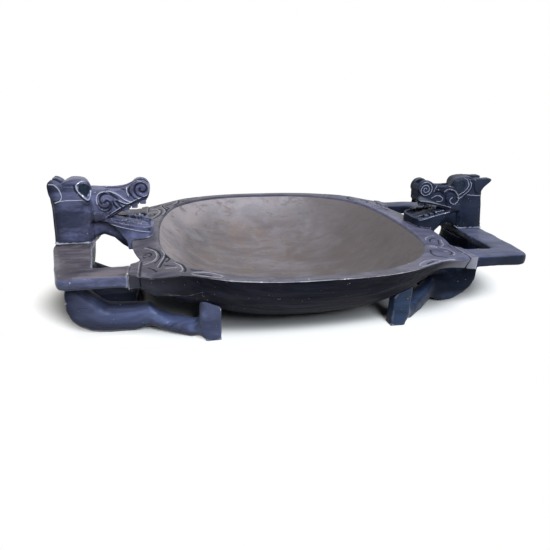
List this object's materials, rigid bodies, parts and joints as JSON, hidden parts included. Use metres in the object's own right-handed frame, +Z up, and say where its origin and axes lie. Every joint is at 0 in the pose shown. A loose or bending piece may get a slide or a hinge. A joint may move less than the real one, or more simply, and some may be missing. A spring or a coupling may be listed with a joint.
{
  "type": "ceremonial bowl",
  "caption": "Long oval carved wooden bowl held up at both ends by crouching animal-headed figures whose arms join its rim.",
  "frame": {"origin": "floor level under the middle of the object's length and width", "axes": "+X along the length towards the figure on the right of the picture, -Y towards the viewer, +Z up"},
  "size_m": [0.901, 0.524, 0.2494],
  "materials": {
    "bowl_wood": "dark stain outside, matte grey-brown adzed inside",
    "figure_wood": "near-black stain with a soft blue-violet sheen",
    "worn_wood": "near-black stain worn brownish on the top faces",
    "shell": null,
    "dowel_wood": "bare wood, hidden"
  },
  "bodies": {
    "root": {"bowl": "bowl_wood", "right_head": "figure_wood", "right_arm_yoke": "worn_wood", "right_torso_and_legs": "figure_wood", "right_front_eye_inlay": "shell", "right_back_eye_inlay": "shell", "right_inner_neck_dowel": "dowel_wood", "right_outer_neck_dowel": "dowel_wood", "right_front_wrist_dowel": "dowel_wood", "right_back_wrist_dowel": "dowel_wood", "right_front_shoulder_dowel": "dowel_wood", "right_back_shoulder_dowel": "dowel_wood", "right_front_toe_dowel": "dowel_wood", "right_back_toe_dowel": "dowel_wood", "right_chin_dowel": "dowel_wood", "left_head": "figure_wood", "left_arm_yoke": "worn_wood", "left_torso_and_legs": "figure_wood", "left_back_eye_inlay": "shell", "left_front_eye_inlay": "shell", "left_inner_neck_dowel": "dowel_wood", "left_outer_neck_dowel": "dowel_wood", "left_back_wrist_dowel": "dowel_wood", "left_front_wrist_dowel": "dowel_wood", "left_back_shoulder_dowel": "dowel_wood", "left_front_shoulder_dowel": "dowel_wood", "left_back_toe_dowel": "dowel_wood", "left_front_toe_dowel": "dowel_wood", "left_chin_dowel": "dowel_wood"}
  },
  "joints": []
}
